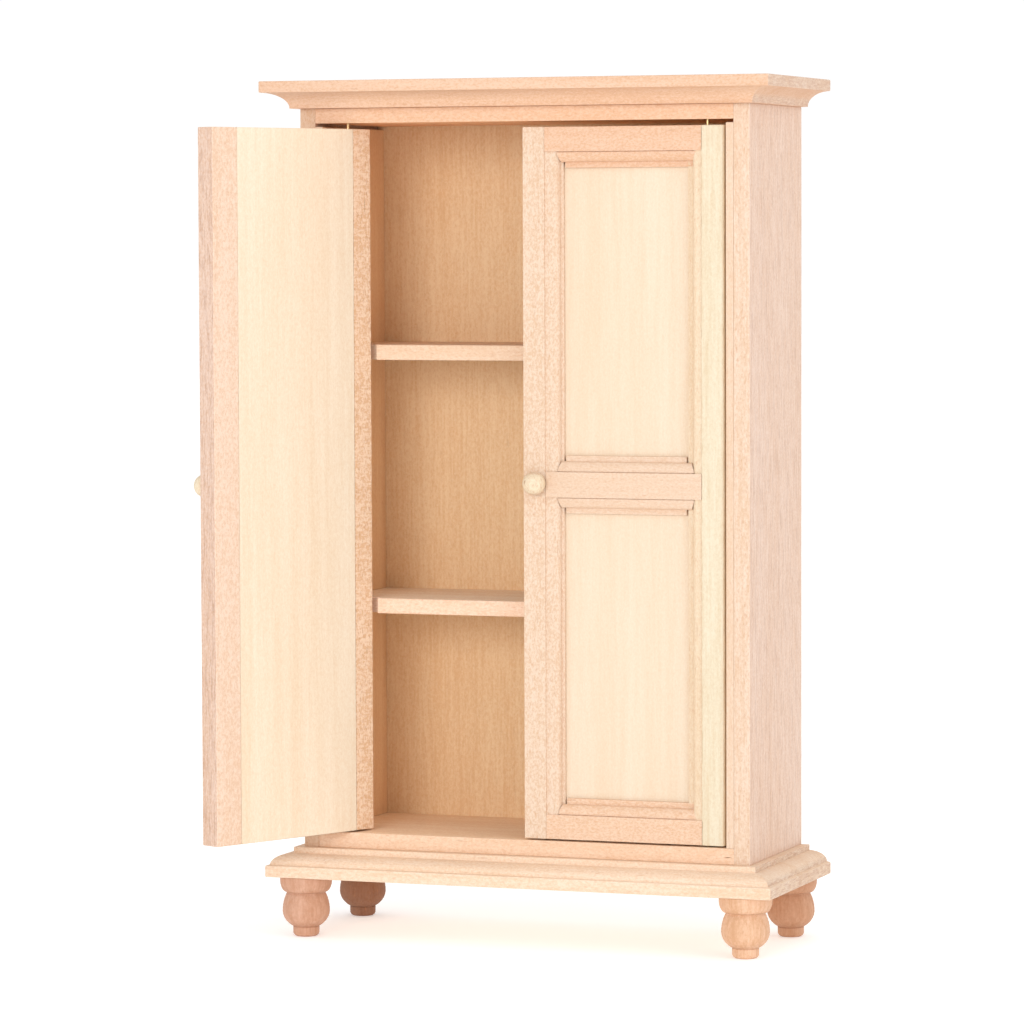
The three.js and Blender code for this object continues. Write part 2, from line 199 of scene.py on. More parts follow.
def prism(corners, axis, low, high, seed=0, ease=END_EASE, wander=WANDER, step=RING_STEP, pitch=3.0):
    """An outline carried along an axis, with eased ends and faces that wander slightly inwards, in
    waves of about `pitch` millimetres."""
    outline, on_arris = eased(corners)
    normals = inward_normals(outline)
    bm = bmesh.new()
    rings = []
    for t in stations(low, high, ease, step):
        shrink = 0.7 * ease if t in (low, high) else 0.0
        ring = []
        for point, normal in zip(outline, normals):
            drift = 0.5 + 0.5 * noise.noise(Vector((point.x * 0.4, point.y * 0.4 + seed * 9.7, t / pitch)))
            a, b = point + normal * (shrink + wander * drift)
            ring.append(bm.verts.new(PLACES[axis](a, b, t)))
        rings.append(ring)
    skin(bm, rings, on_arris)
    return bm


def turning(profile, sides=56):
    """A round solid about +z from (radius, height) points, closed on the axis at both ends."""
    bm = bmesh.new()
    rings = []
    for radius, height in profile[1:-1]:
        angles = [2 * math.pi * i / sides for i in range(sides)]
        rings.append([bm.verts.new((radius * math.cos(a), radius * math.sin(a), height)) for a in angles])
    for lower, upper in zip(rings, rings[1:]):
        for i in range(sides):
            j = (i + 1) % sides
            bm.faces.new((lower[i], lower[j], upper[j], upper[i]))
    for ring, (_, height) in ((rings[0], profile[0]), (rings[-1], profile[-1])):
        tip = bm.verts.new((0, 0, height))
        for i in range(sides):
            bm.faces.new((tip, ring[(i + 1) % sides], ring[i]))
    bm.faces.layers.float.new("arris")
    bmesh.ops.recalc_face_normals(bm, faces=bm.faces)
    return bm


def moulded_slab(edge, low, high, seed=0):
    """A slab square at the back and moulded on its front and ends. `edge` lists (offset, z, rounded)
    from the bottom to the top, and `low` and `high` are its box."""
    reach = max(offset for offset, _, _ in edge)
    bm = bmesh.new()
    rings, flags = [], []
    counts = None
    for offset, z, rounded in edge:
        inset = reach - offset
        left, right, front = low.x + inset, high.x - inset, low.y + inset
        corners = [(left, high.y, 0), (left, front), (right, front), (right, high.y, 0)]
        plan, on_arris = eased(corners)
        counts = counts or edge_counts(plan, RING_STEP)
        plan, on_arris = subdivided(plan, on_arris, counts)
        ring = []
        for point in plan:
            wave = noise.noise(Vector((point.x * 0.3, point.y * 0.3, z + seed * 7.1)))
            drift = WANDER * (0.5 + 0.5 * wave)
            middle = Vector(((low.x + high.x) / 2, high.y))
            pull = (middle - point).normalized() * drift
            if point.y > high.y - 0.01:
                pull.y = 0
            ring.append(bm.verts.new((point.x + pull.x, point.y + pull.y, z)))
        rings.append(ring)
        flags.append(rounded)
    layer = bm.faces.layers.float.new("arris")
    for k, (lower, upper) in enumerate(zip(rings, rings[1:])):
        for i in range(len(lower)):
            j = (i + 1) % len(lower)
            face = bm.faces.new((lower[i], lower[j], upper[j], upper[i]))
            face[layer] = 1.0 if flags[k] or on_arris[i] else 0.0
    bm.faces.new(list(reversed(rings[0])))
    bm.faces.new(rings[-1])
    bmesh.ops.recalc_face_normals(bm, faces=bm.faces)
    return bm


def edge_counts(outline, step):
    """How many even steps each edge of an outline is cut into."""
    pairs = zip(outline, outline[1:] + outline[:1])
    return [max(1, round((following - point).length / step)) for point, following in pairs]


def subdivided(outline, flags, counts):
    """The outline with its edges cut into even steps."""
    points, marks = [], []
    for i, (point, flag, count) in enumerate(zip(outline, flags, counts)):
        following = outline[(i + 1) % len(outline)]
        for k in range(count):
            points.append(point.lerp(following, k / count))
            marks.append(flag)
    return points, marks


def rod(radius, low, high, axis="z", at=(0, 0), sides=24):
    """A plain round cutter or pin with slightly domed ends."""
    dome = radius * 0.3
    profile = [
        (0, low), (radius * 0.55, low), (radius * 0.85, low + dome * 0.4), (radius, low + dome),
        (radius, high - dome), (radius * 0.85, high - dome * 0.4), (radius * 0.55, high), (0, high),
    ]
    bm = turning(profile, sides)
    turn = {"z": Matrix.Identity(3), "y": Matrix.Rotation(-math.pi / 2, 3, "X")}[axis]
    place = {"z": Vector((at[0], at[1], 0)), "y": Vector((at[0], 0, at[1]))}[axis]
    for vertex in bm.verts:
        vertex.co = turn @ vertex.co + place
    return bm


def to_object(bm, name):
    """An object in the scene from a finished bmesh, which is freed."""
    mesh = bpy.data.meshes.new(name)
    bm.to_mesh(mesh)
    bm.free()
    obj = bpy.data.objects.new(name, mesh)
    bpy.context.scene.collection.objects.link(obj)
    return obj


def without(bm, *cutters):
    """The solid less the cutters."""
    blank = to_object(bm, "blank")
    tools = [to_object(cutter, "cutter") for cutter in cutters]
    for tool in tools:
        modifier = blank.modifiers.new("cut", "BOOLEAN")
        modifier.operation = "DIFFERENCE"
        modifier.solver = "EXACT"
        modifier.object = tool
    bpy.context.view_layer.update()
    graph = bpy.context.evaluated_depsgraph_get()
    result = bmesh.new()
    result.from_mesh(blank.evaluated_get(graph).to_mesh())
    for obj in (blank, *tools):
        bpy.data.objects.remove(obj)
    return result


def mirrored(bm):
    """The left door's copy of a piece of the right one."""
    for vertex in bm.verts:
        vertex.co.x = -vertex.co.x
    bmesh.ops.reverse_faces(bm, faces=bm.faces)
    return bm


def mark_sharp(bm):
    """Flats stay flat next to their rounded arrises, and curves stay smooth."""
    layer = bm.faces.layers.float.get("arris")
    for face in bm.faces:
        face.smooth = True
    for edge in bm.edges:
        if len(edge.link_faces) != 2:
            continue
        first, second = edge.link_faces
        same = (first[layer] > 0.5) == (second[layer] > 0.5)
        edge.smooth = same and edge.calc_face_angle(0.0) < SHARP_ANGLE


def piece(node, bm, body, matrix, slot, material):
    """Puts a finished piece, made in its body's frame, in place of its CAD node."""
    mark_sharp(bm)
    bmesh.ops.transform(bm, matrix=matrix @ Matrix.Scale(MM, 4), verts=bm.verts)
    obj = to_object(bm, f"{node}_finished")
    obj.data.materials.append(material)
    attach(obj, body)
    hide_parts(node)
    return obj


# ---- Materials -------------------------------------------------------------------------------

REFLECTANCE = 0.9

PORE_COLOUR = (200, 138, 98)
FLECK_COLOUR = (160, 102, 70)
END_GRAIN_COLOUR = (196, 142, 112)
OPEN_GRAIN_COLOUR = (176, 128, 100)
# The pale colour of the painted highlight on the rounded arrises.
ARRIS_HIGHLIGHT_COLOUR = (255, 234, 210)


def linear(colour, share=REFLECTANCE):
    """An sRGB colour of 0 to 255 as a linear one, times the share of light it returns."""
    values = []
    for channel in colour:
        c = channel / 255
        values.append(share * (c / 12.92 if c <= 0.04045 else ((c + 0.055) / 1.055) ** 2.4))
    return (*values, 1.0)


class Shader:
    """A material and short ways to add its nodes."""

    def __init__(self, name):
        self.material = bpy.data.materials.new(name)
        self.material.use_nodes = True
        self.tree = self.material.node_tree
        self.tree.nodes.clear()

    def node(self, kind, **settings):
        node = self.tree.nodes.new(kind)
        for key, value in settings.items():
            setattr(node, key, value)
        return node

    def feed(self, socket, value):
        if isinstance(value, bpy.types.NodeSocket):
            self.tree.links.new(value, socket)
        else:
            socket.default_value = value

    def math(self, operation, first, second=0.0):
        node = self.node("ShaderNodeMath", operation=operation)
        self.feed(node.inputs[0], first)
        self.feed(node.inputs[1], second)
        return node.outputs[0]

    def vector(self, operation, first, second):
        node = self.node("ShaderNodeVectorMath", operation=operation)
        self.feed(node.inputs[0], first)
        self.feed(node.inputs[1], second)
        return node.outputs[0]

    def noise(self, vector, size, detail=2.0, roughness=0.5, distortion=0.0):
        """Soft noise whose patches are about `size` millimetres across."""
        node = self.node("ShaderNodeTexNoise")
        self.feed(node.inputs["Vector"], vector)
        node.inputs["Scale"].default_value = 1 / size
        node.inputs["Detail"].default_value = detail
        node.inputs["Roughness"].default_value = roughness
        node.inputs["Distortion"].default_value = distortion
        return node.outputs[0]

    def rise(self, value, low, high):
        """0 below `low`, 1 above `high`, and smooth between."""
        node = self.node("ShaderNodeMapRange", interpolation_type="SMOOTHSTEP")
        self.feed(node.inputs["Value"], value)
        node.inputs["From Min"].default_value = low
        node.inputs["From Max"].default_value = high
        return node.outputs[0]

    def blend(self, factor, first, second, mode="MIX"):
        node = self.node("ShaderNodeMix", data_type="RGBA", blend_type=mode)
        self.feed(node.inputs[0], factor)
        self.feed(node.inputs[6], first)
        self.feed(node.inputs[7], second)
        return node.outputs[2]

    def total(self, start, *terms):
        """`start` plus each (noise, weight), with the noise counted from its middle."""
        value = start
        for term, weight in terms:
            value = self.math("ADD", value, self.math("MULTIPLY", self.math("SUBTRACT", term, 0.5), weight))
        return value

    def surface(self, colour, roughness, height=None, relief=0.0, **fixed):
        shader = self.node("ShaderNodeBsdfPrincipled")
        self.feed(shader.inputs["Base Color"], colour)
        self.feed(shader.inputs["Roughness"], roughness)
        for key, value in fixed.items():
            shader.inputs[key.replace("_", " ")].default_value = value
        if height is not None:
            bump = self.node("ShaderNodeBump")
            bump.inputs["Strength"].default_value = 1.0
            bump.inputs["Distance"].default_value = relief * MM
            self.feed(bump.inputs["Height"], height)
            self.feed(shader.inputs["Normal"], bump.outputs[0])
        output = self.node("ShaderNodeOutputMaterial")
        self.feed(output.inputs["Surface"], shader.outputs[0])
        return self.material

    def body_place(self, matrix):
        """The point and the normal, in millimetres in the frame of the body that stands at `matrix`."""
        coordinates = self.node("ShaderNodeTexCoord")
        inverse = matrix.inverted()
        turned = []
        for kind, name in (("POINT", "Object"), ("NORMAL", "Normal")):
            mapping = self.node("ShaderNodeMapping", vector_type=kind)
            self.feed(mapping.inputs["Vector"], coordinates.outputs[name])
            mapping.inputs["Rotation"].default_value = inverse.to_euler()
            turned.append(mapping)
        turned[0].inputs["Location"].default_value = inverse.translation
        point = self.vector("MULTIPLY", turned[0].outputs[0], (1 / MM, 1 / MM, 1 / MM))
        return point, turned[1].outputs[0]


GRAIN = {"x": 0, "y": 1, "z": 2}
END_LINES = {"x": "y", "y": "x", "z": "x"}
CARCASS_PLACE = Matrix.Translation(ORIGIN)


def stretched(amount, grain):
    """Scale factors that draw a pattern out along the grain."""
    factors = [1.0, 1.0, 1.0]
    factors[GRAIN[grain]] = amount
    return tuple(factors)


def wood(name, colour, grain="z", seed=0, matrix=CARCASS_PLACE, figure=0.5, fibre=0.5, speckle=0.5,
         pores=0.5, flecks=0.3, ripple=0.0, end_tint=(1.0, 1.02, 1.04), deep=(0.92, 0.84, 0.76),
         pale=(1.03, 1.07, 1.12), tint_axis=None, tint=(1, 1, 1), raw=0.0):
    """Bare sanded wood. `colour` is the middle of its range, and the shares from 0 to 1 say how strong
    the figure, fibres, speckle, pores, dark flecks and cross-grain ripples are. Faces that look along
    `tint_axis` are multiplied by `tint`, which paints light or shade on them, and show open grain with
    the strength `raw`, for faces cut by the saw."""
    s = Shader(name)
    point, normal = s.body_place(matrix)
    place = s.vector("ADD", point, (seed * 17.3, seed * 41.1, seed * 73.7))
    tone = s.noise(s.vector("MULTIPLY", place, stretched(0.16, grain)), 16, 2)
    band = s.noise(s.vector("MULTIPLY", place, stretched(0.03, grain)), 2.8, 3, 0.55, 0.4)
    thread = s.noise(s.vector("MULTIPLY", place, stretched(0.05, grain)), 0.5, 3, 0.65)
    speck = s.noise(s.vector("MULTIPLY", place, stretched(0.6, grain)), 0.38, 3, 0.75)
    pore_noise = s.noise(s.vector("MULTIPLY", place, stretched(0.3, grain)), 0.36, 1, 0.5)
    pore = s.rise(pore_noise, 0.60, 0.74)
    fleck_noise = s.noise(s.vector("MULTIPLY", place, stretched(0.14, grain)), 0.8, 1, 0.5)
    fleck = s.rise(fleck_noise, 0.74, 0.80)
    level = s.total(
        0.5, (tone, 1.1 * figure), (band, 1.5 * figure), (thread, 1.2 * fibre), (speck, 3.4 * speckle))
    if ripple:
        chatter = s.noise(s.vector("MULTIPLY", place, stretched(3.2, grain)), 1.8, 2, 0.6, 0.6)
        level = s.total(level, (chatter, 1.8 * ripple))
    level = s.math("MINIMUM", s.math("MAXIMUM", level, 0.0), 1.0)
    middle = linear(colour)
    dark = tuple(c * d for c, d in zip(middle, (*deep, 1)))
    light = tuple(c * d for c, d in zip(middle, (*pale, 1)))
    shade = s.blend(level, dark, light)
    shade = s.blend(s.math("MULTIPLY", pore, 0.4 * pores), shade, linear(PORE_COLOUR))
    shade = s.blend(s.math("MULTIPLY", fleck, 0.6 * flecks), shade, linear(FLECK_COLOUR))
    facing = s.node("ShaderNodeSeparateXYZ")
    s.feed(facing.inputs[0], normal)
    end = s.rise(s.math("ABSOLUTE", facing.outputs[GRAIN[grain]]), 0.6, 0.95)
    rings = s.vector("MULTIPLY", place, stretched(0.14, END_LINES[grain]))
    dots = s.rise(s.noise(rings, 0.34, 3, 0.75), 0.36, 0.68)
    end_shade = s.blend(s.math("MULTIPLY", dots, 0.55), shade, linear(END_GRAIN_COLOUR))
    end_shade = s.blend(1.0, end_shade, (*end_tint, 1), "MULTIPLY")
    shade = s.blend(end, shade, end_shade)
    if tint_axis:
        turned_away = s.rise(s.math("ABSOLUTE", facing.outputs[GRAIN[tint_axis]]), 0.6, 0.95)
        # Painted light and shade: the tint lightens or darkens the faces along tint_axis, and open grain is
        # laid over them.
        sawn_grain_and_painted_light = s.blend(1.0, shade, (*tint, 1), "MULTIPLY")
        opened = s.noise(s.vector("MULTIPLY", place, stretched(0.1, grain)), 0.42, 3, 0.75)
        opened = s.math("MULTIPLY", s.rise(opened, 0.46, 0.66), raw)
        sawn_grain_and_painted_light = s.blend(opened, sawn_grain_and_painted_light, linear(OPEN_GRAIN_COLOUR))
        shade = s.blend(turned_away, shade, sawn_grain_and_painted_light)
    # Painted highlight: the rounded arrises are lightened in patches towards a pale colour, standing in for
    # the light that they catch.
    arris = s.node("ShaderNodeAttribute", attribute_name="arris").outputs["Fac"]
    painted_arris_highlight = s.rise(s.noise(place, 3.5, 2, 0.6), 0.35, 0.7)
    painted_arris_highlight = s.math("MULTIPLY", s.math("MULTIPLY", arris, painted_arris_highlight), 0.15)
    shade = s.blend(painted_arris_highlight, shade, linear(ARRIS_HIGHLIGHT_COLOUR))
    height = s.total(0.5, (thread, 0.5 * fibre), (speck, 1.2 * speckle))
    height = s.math("SUBTRACT", height, s.math("MULTIPLY", pore, 0.5 * pores))
    if ripple:
        height = s.total(height, (chatter, 1.2 * ripple))
    roughness = s.total(0.7, (speck, 0.3))
    return s.surface(shade, roughness, height, 0.05, Specular_IOR_Level=0.25)


def turned_wood(name, colour, seed):
    """Wood off the lathe: upright grain, fine tool rings and a faint burnish."""
    return wood(name, colour, "z", seed, figure=1.0, fibre=1.3, speckle=0.3, pores=0.8, flecks=0.4,
                ripple=0.15, end_tint=(0.88, 0.88, 0.88), deep=(0.84, 0.72, 0.6), pale=(1.08, 1.1, 1.12))


def brass():
    """Drawn wire with faint lengthwise marks and dull patches."""
    s = Shader("pin_brass")
    point, _ = s.body_place(CARCASS_PLACE)
    place = s.vector("MULTIPLY", point, (1, 1, 0.1))
    marks = s.noise(place, 0.12, 2)
    shade = s.blend(marks, linear((214, 178, 118), 1.0), linear((246, 222, 178), 1.0))
    return s.surface(shade, s.total(0.36, (marks, 0.25)), marks, 0.01, Metallic=1.0)


# ---- Carcass ---------------------------------------------------------------------------------


def rectangle(a_low, a_high, b_low, b_high, *radii):
    """The corners of a rectangle, anticlockwise from the lowest, each with its own rounding."""
    corners = [(a_low, b_low), (a_high, b_low), (a_high, b_high), (a_low, b_high)]
    if radii:
        corners = [(*corner, radius) for corner, radius in zip(corners, radii)]
    return corners


def carcass_piece(node, bm, slot, material):
    return piece(node, bm, "carcass", CARCASS_PLACE, slot, material)


def upright_board(node, seed, slot, material, *radii):
    low, high = carcass_box(node)
    bm = prism(rectangle(low.x, high.x, low.y, high.y, *radii), "z", low.z, high.z, seed)
    carcass_piece(node, bm, slot, material)


def pin_holes(low, high):
    """Cutters for the pin holes of both doors, between two heights."""
    cutters = []
    for word, _ in SIDES:
        pin = (pin_place(word) - ORIGIN) / MM
        cutters.append(rod(PIN_HOLE, low, high, at=(pin.x, pin.y)))
    return cutters


def cross_board(node, seed, material, hole_low, hole_high, *cracks):
    """The board across the top or the bottom, with the holes for the pins."""
    low, high = carcass_box(node)
    bm = prism(rectangle(low.y, high.y, low.z, high.z), "x", low.x, high.x, seed, ease=JOINT_ARRIS)
    bm = without(bm, *pin_holes(hole_low, hole_high), *cracks)
    carcass_piece(node, bm, "hardwood", material)


def crack(x_low, x_high, z, depth=0.8, width=0.16):
    """A cutter for a drying crack in a front edge, widest in the middle."""
    bm = bmesh.new()
    middle = (x_low + x_high) / 2
    outline = [(x_low, z), (middle, z - width / 2), (x_high, z + 0.05), (middle, z + width / 2)]
    front = [bm.verts.new((x, -1, height)) for x, height in outline]
    back = [bm.verts.new((x, depth, height)) for x, height in outline]
    bm.faces.new(front)
    bm.faces.new(list(reversed(back)))
    for i in range(len(front)):
        j = (i + 1) % len(front)
        bm.faces.new((front[j], front[i], back[i], back[j]))
    bm.faces.layers.float.new("arris")
    bmesh.ops.recalc_face_normals(bm, faces=bm.faces)
    return bm


def shelf(node, seed, material):
    low, high = carcass_box(node)
    notch_width, notch_depth = 9.7, 2.6
    outline = [
        (low.x + notch_width, low.y), (high.x - notch_width, low.y),
        (high.x - notch_width, low.y + notch_depth), (high.x, low.y + notch_depth),
        (high.x, high.y), (low.x, high.y),
        (low.x, low.y + notch_depth), (low.x + notch_width, low.y + notch_depth),
    ]
    bm = prism(outline, "z", low.z, high.z, seed, step=1.0)
    carcass_piece(node, bm, "hardwood", material)


def cornice(material):
    low, high = carcass_box("cornice_board")
    projection, fillet, lip = 4.95, 2.4, 0.1
    cove_rise = high.z - fillet - low.z - lip
    ease = 0.2
    cove = quarter((projection, low.z + lip), (-projection, cove_rise))
    fillet_low = high.z - fillet
    edge = [(0, low.z, False)] + [(u, v, False) for u, v, _ in cove[:-1]]
    edge += [(projection - ease * 0.4, fillet_low, True), (projection, fillet_low + ease, False),
             (projection, high.z - ease, True), (projection - ease * 0.3, high.z - ease * 0.3, True),
             (projection - ease, high.z, False)]
    carcass_piece("cornice_board", moulded_slab(edge, low, high, 3), "hardwood", material)


def base(material):
    low, high = carcass_box("base_board")
    projection, ledge, ledge_rise, bottom_fillet, top_fillet = 4.7, 0.8, 0.15, 2.5, 1.2
    ease = 0.2
    ledge_z = low.z + bottom_fillet
    edge = [(projection - ease, low.z, True), (projection - ease * 0.3, low.z + ease * 0.3, True),
            (projection, low.z + ease, False), (projection, ledge_z - ease, True),
            (projection - ease * 0.3, ledge_z - ease * 0.3, True), (projection - ease, ledge_z, False)]
    ovolo_low = ledge_z + ledge_rise
    ovolo_rise = high.z - top_fillet - ovolo_low
    for u, v, _ in quarter((0, ovolo_low), (projection - ledge, ovolo_rise)):
        edge.append((u, v, False))
    edge += [(0, high.z, False)]
    carcass_piece("base_board", moulded_slab(edge, low, high, 5), "hardwood", material)


def foot_profile(height):
    """(radius, height) points of a foot, with the fine rings that the turning tool left."""
    ankle_top, ball_centre, neck_height = 2.1, 5.55, 9.25
    ball_radius, ball_lower, ball_upper = 5.08, 4.1, 6.6
    neck_radius, collar_radius, collar_flat = 4.25, 5.6, 0.9
    points = [(0, 0), (2.0, 0), (2.2, 0.04), (2.6, 0.3), (2.8, 0.7), (2.82, ankle_top - 0.1)]
    steps = 34
    for step in range(steps + 1):
        z = ankle_top + (neck_height - ankle_top) * step / steps
        half = ball_lower if z < ball_centre else ball_upper
        radius = ball_radius * math.sqrt(1 - ((z - ball_centre) / half) ** 2)
        points.append((radius - 0.018 * (1 + math.sin(z * 9.0)), z))
    collar_low, collar_high = neck_height + 0.3, height - collar_flat
    points.append((neck_radius - 0.12, neck_height + 0.12))
    for u, v, _ in reversed(quarter((neck_radius, collar_high), (collar_radius - neck_radius - 0.02,
                                                                  collar_low - collar_high))):
        points.append((u, v))
    points += [(collar_radius - 0.02, collar_high + 0.15), (collar_radius - 0.02, height - 0.12),
               (collar_radius - 0.14, height - 0.01), (collar_radius - 0.4, height), (0, height)]
    return points


def foot(node, seed, material):
    low, high = carcass_box(node)
    bm = turning(foot_profile(high.z), 72)
    centre = (low + high) / 2
    spin = Matrix.Rotation(seed * 1.1, 3, "Z")
    for vertex in bm.verts:
        vertex.co = spin @ vertex.co + Vector((centre.x, centre.y, 0))
    carcass_piece(node, bm, "turned_wood", material)


# ---- Doors -----------------------------------------------------------------------------------
# A door piece is made for the right door, where `u` runs from the hinge edge to the free edge and
# `v` from the face to the back. The left door's copy is mirrored.

POST_LOW, POST_HIGH = door_box("hinge_post")
STILE_LOW, STILE_HIGH = door_box("free_stile")
PANEL_LOW, PANEL_HIGH = door_box("panel")
HINGE_EDGE = POST_HIGH.x
POST_WIDTH = POST_HIGH.x - POST_LOW.x
DOOR_WIDTH = HINGE_EDGE - STILE_LOW.x
FACE = STILE_LOW.y
DOOR_THICKNESS = STILE_HIGH.y - STILE_LOW.y
PANEL_FRONT = PANEL_LOW.y - FACE
PANEL_REBATE = PANEL_LOW.x - STILE_LOW.x
STILE_FLAT = STILE_HIGH.x - STILE_LOW.x - STILE_STICKING[2]
DOOR_LOW, DOOR_HIGH = STILE_LOW.z, STILE_HIGH.z
POST_ROUND = 0.9
ROUGH_WANDER, ROUGH_PITCH, ROUGH_STEP = 0.16, 1.1, 0.6
KNOB_PEG, KNOB_HOLE, KNOB_EASE = 0.8, 0.95, 0.03


def door_plan(points):
    """(u, v, ...) corners as (x, y, ...) ones in the door frame."""
    return [(HINGE_EDGE - point[0], FACE + point[1], *point[2:]) for point in points]


def sticking(sizes):
    """The moulded edge of a member, as (distance from its flat, depth, rounding), face to panel."""
    landing, curve_width, width = sizes
    curve = quarter((landing, CURVE_DEPTH), (curve_width, QUIRK - CURVE_DEPTH))
    edge = [(0, 0, JOINT_ARRIS)]
    if landing:
        edge.append((0, QUIRK, 0))
    else:
        edge += [(0, QUIRK + CREASE, 0), (CREASE / 2, QUIRK + CREASE, 0)]
    edge += [(max(across, edge[-1][0]), depth, 0) for across, depth, _ in reversed(curve)]
    end = landing + curve_width
    return edge + [(end, FILLET_DEPTH, 0), (width, FILLET_DEPTH, 0.1), (width, PANEL_FRONT, 0)]


def coped(sizes, gap):
    """The shape that a rail's end is cut to, to fit over an upright's moulded edge."""
    *edge, fillet_edge, panel_edge = sticking(sizes)
    shape = []
    for across, depth, _ in edge:
        on_curve = depth > QUIRK and across > sizes[0]
        shape.append((across + (COPE_SEAM if on_curve else gap), depth - gap, 0))
    for across, depth, _ in (fillet_edge, panel_edge):
        shape.append((across + COPE_HOLE, depth - gap, 0))
    return shape


def free_stile():
    flat = DOOR_WIDTH - STILE_FLAT
    moulded = [(flat - across, depth, radius) for across, depth, radius in sticking(STILE_STICKING)]
    rebate = DOOR_WIDTH - PANEL_REBATE
    outline = [
        (DOOR_WIDTH, 0), *moulded, (rebate, PANEL_FRONT, 0), (rebate, DOOR_THICKNESS, 0.1),
        (DOOR_WIDTH, DOOR_THICKNESS),
    ]
    knob_low, knob_high = door_box("knob")
    at = ((knob_low.x + knob_high.x) / 2, (knob_low.z + knob_high.z) / 2)
    hole = rod(KNOB_HOLE, FACE - 0.5, knob_high.y + 0.4, "y", at)
    return without(prism(door_plan(outline), "z", DOOR_LOW, DOOR_HIGH, 11), hole)


def hinge_post():
    """The pale strip that holds the pins, rough from the saw."""
    low, high = POST_LOW, POST_HIGH
    outline = [
        (low.x, low.y, JOINT_ARRIS), (high.x, low.y, POST_ROUND), (high.x, high.y),
        (low.x, high.y, JOINT_ARRIS),
    ]
    top_hole = rod(PIN_HOLE, DOOR_HIGH - PIN_IN_POST, DOOR_HIGH + 1)
    bottom_hole = rod(PIN_HOLE, DOOR_LOW - 1, DOOR_LOW + PIN_IN_POST)
    bm = prism(outline, "z", DOOR_LOW, DOOR_HIGH, 12, END_EASE, ROUGH_WANDER, ROUGH_STEP, ROUGH_PITCH)
    return without(bm, top_hole, bottom_hole)


def hinge_moulding():
    start = POST_WIDTH + GLUE_LINE
    edge = sticking(STRIP_STICKING)[1:-1]
    moulded = [(start + across, depth, radius) for across, depth, radius in edge]
    back = PANEL_FRONT - GLUE_LINE
    outline = [*moulded, (start + STRIP_STICKING[2], back, 0), (start, back, 0)]
    return prism(door_plan(outline), "z", DOOR_LOW, DOOR_HIGH, 13)


def rail(node, moulded_below, moulded_above, seed, gap=GLUE_LINE):
    """A rail coped over the mouldings of the post's strip and the free stile."""
    low, high = door_box(node)
    width = RAIL_STICKING[2]
    flat_low = low.z + (width if moulded_below else 0)
    flat_high = high.z - (width if moulded_above else 0)
    depth = PANEL_FRONT - GLUE_LINE
    edge = sticking(RAIL_STICKING)[:-1]
    above = [(FACE + v, flat_high + a, r) for a, v, r in edge] + [(FACE + depth, high.z, 0)]
    below = [(FACE + v, flat_low - a, r) for a, v, r in edge] + [(FACE + depth, low.z, 0)]
    if not moulded_above:
        above = [(FACE, flat_high), (FACE + depth, flat_high, 0)]
    if not moulded_below:
        below = [(FACE, flat_low), (FACE + depth, flat_low, 0)]
    u_start = POST_WIDTH + GLUE_LINE
    u_end = DOOR_WIDTH - STILE_FLAT - gap
    outline = [*above, *reversed(below)]
    blank = prism(outline, "x", HINGE_EDGE - u_end, HINGE_EDGE - u_start, seed, ease=0.02)
    behind = DOOR_THICKNESS
    stile = [(DOOR_WIDTH - STILE_FLAT - a, v, 0) for a, v, _ in coped(STILE_STICKING, gap)]
    stile += [(stile[-1][0], behind, 0), (DOOR_WIDTH, behind, 0), (DOOR_WIDTH, stile[0][1], 0)]
    strip = [(u_start + a, v, 0) for a, v, _ in coped(STRIP_STICKING, GLUE_LINE)[1:]]
    strip += [(strip[-1][0], behind, 0), (POST_WIDTH - 1, behind, 0), (POST_WIDTH - 1, strip[0][1], 0)]
    cutters = [
        prism(door_plan(shape), "z", low.z - 1, high.z + 1, ease=0.01, wander=0, step=500)
        for shape in (stile, strip)
    ]
    return without(blank, *cutters)


def panel():
    radii = [JOINT_ARRIS] * 4
    outline = rectangle(PANEL_LOW.x, PANEL_HIGH.x, PANEL_LOW.y, PANEL_HIGH.y, *radii)
    return prism(outline, "z", PANEL_LOW.z, PANEL_HIGH.z, 15)


def knob():
    """A turned bead, slightly flattened, on its peg."""
    low, high = door_box("knob")
    radius = (high.z - low.z) / 2 - KNOB_EASE
    standoff = FACE - low.y - radius - KNOB_EASE
    profile = [(0, -standoff - radius)]
    steps = 30
    for step in range(1, steps):
        angle = math.pi * step / steps
        along = -standoff - radius * math.cos(angle)
        if along < -0.06:
            profile.append((radius * math.sin(angle), along))
    profile += [(radius * 0.42, -0.05), (KNOB_PEG, -0.05), (KNOB_PEG, high.y - FACE - 0.1),
                (KNOB_PEG - 0.1, high.y - FACE), (0, high.y - FACE)]
    bm = turning(profile, 48)
    turn = Matrix.Rotation(-math.pi / 2, 3, "X")
    place = Vector(((low.x + high.x) / 2, FACE, (low.z + high.z) / 2))
    for vertex in bm.verts:
        vertex.co = turn @ vertex.co + place
    return bm


def pin(node):
    low, high = door_box(node)
    return rod(PIN_RADIUS, low.z, high.z)


def door_matrix(word):
    """Where a door stands at rest: turned about its pins by the angle that it is stored open."""
    joint = JOINTS[f"{word}_door"]
    stored = -joint["range_deg"][0] * joint["axis"][2]
    return Matrix.Translation(pin_place(word)) @ Matrix.Rotation(math.radians(stored), 4, "Z")


